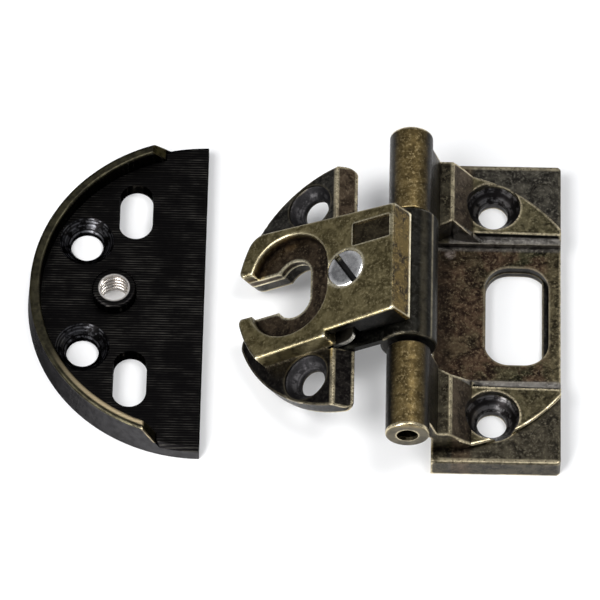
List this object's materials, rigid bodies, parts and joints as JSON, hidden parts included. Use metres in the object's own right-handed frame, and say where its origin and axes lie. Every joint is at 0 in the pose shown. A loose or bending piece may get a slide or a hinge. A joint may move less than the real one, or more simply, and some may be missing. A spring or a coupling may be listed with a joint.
{
  "type": "cabinet hinge",
  "caption": "Die-cast furniture hinge with a window leaf, a half-moon door link with a hook-shaped clamp arm, and a loose half-moon door plate with a tapped collar.",
  "frame": {"origin": "midway between the cabinet leaf's two wood screws, on the leaf's back face", "axes": "+Z out of the cabinet side, away from the leaf's back; +Y along the hinge pin; +X from the pin towards the leaf's free long edge"},
  "size_m": [0.0934, 0.0638, 0.0233],
  "materials": {
    "dark_brass": "darkened, rubbed bright on the edges",
    "antique_brass": "olive patina, rubbed bright on the edges",
    "black_brass": "blackened, with fine marks along the straight edge's normal",
    "spring_brass": "bright rolled strip",
    "nickel": "satin nickel",
    "steel": "drawn wire, unplated end"
  },
  "bodies": {
    "cabinet_side": {"cabinet_leaf": "dark_brass", "hinge_pin": "steel", "half_moon_plate": "black_brass"},
    "door_side": {"door_link": "dark_brass", "hook_arm": "antique_brass", "snap_spring": "spring_brass"},
    "adjuster": {"adjusting_screw": "nickel"}
  },
  "joints": [
    {"name": "leaf_turn", "type": "hinge", "parent": "cabinet_side", "child": "door_side", "pos_m": [-0.0147, 0, 0.0135], "axis": [0, 1, 0], "range_deg": [0, 211.4]},
    {"name": "screw_turn", "type": "hinge", "parent": "door_side", "child": "adjuster", "pos_m": [-0.02589, 0, 0.0185], "axis": [-0.521, 0, 0.8536], "continuous": true}
  ]
}
